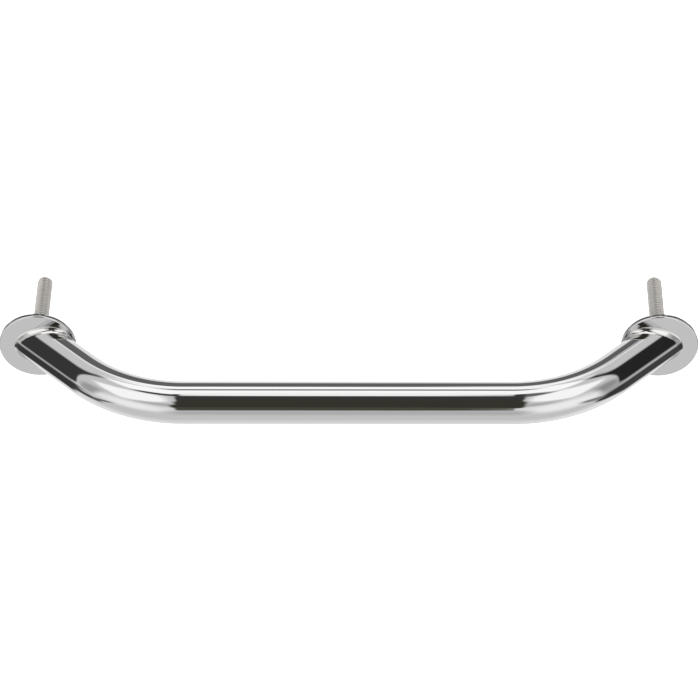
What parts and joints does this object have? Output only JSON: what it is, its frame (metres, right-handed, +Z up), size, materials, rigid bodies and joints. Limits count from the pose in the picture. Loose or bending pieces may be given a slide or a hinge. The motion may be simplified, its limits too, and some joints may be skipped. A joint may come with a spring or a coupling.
{
  "type": "grab rail",
  "caption": "Bent round tube rail welded to two round flanges, each with a threaded stud on its back that goes through a panel, as a handhold on a boat.",
  "frame": {"origin": "midway between the two studs' axes, on the plane of the flanges' back faces, where the panel's surface is", "axes": "+X along the rail, from the left flange to the right one; +Y into the panel, the way the studs point; +Z up, across the rail"},
  "size_m": [0.3656, 0.1096, 0.0406],
  "materials": {
    "polished_stainless": "stainless steel polished to a mirror",
    "polished_weld": "weld metal ground smooth and polished, slightly wavy",
    "threaded_stainless": "rolled thread in dull stainless steel, unpolished",
    "raw_weld": "weld bead as laid, unpolished"
  },
  "bodies": {
    "root": {"rail_tube": "polished_stainless", "left_flange": "polished_stainless", "right_flange": "polished_stainless", "left_rail_weld": "polished_weld", "right_rail_weld": "polished_weld", "left_stud": "threaded_stainless", "right_stud": "threaded_stainless", "left_stud_weld": "raw_weld", "right_stud_weld": "raw_weld"}
  },
  "joints": []
}
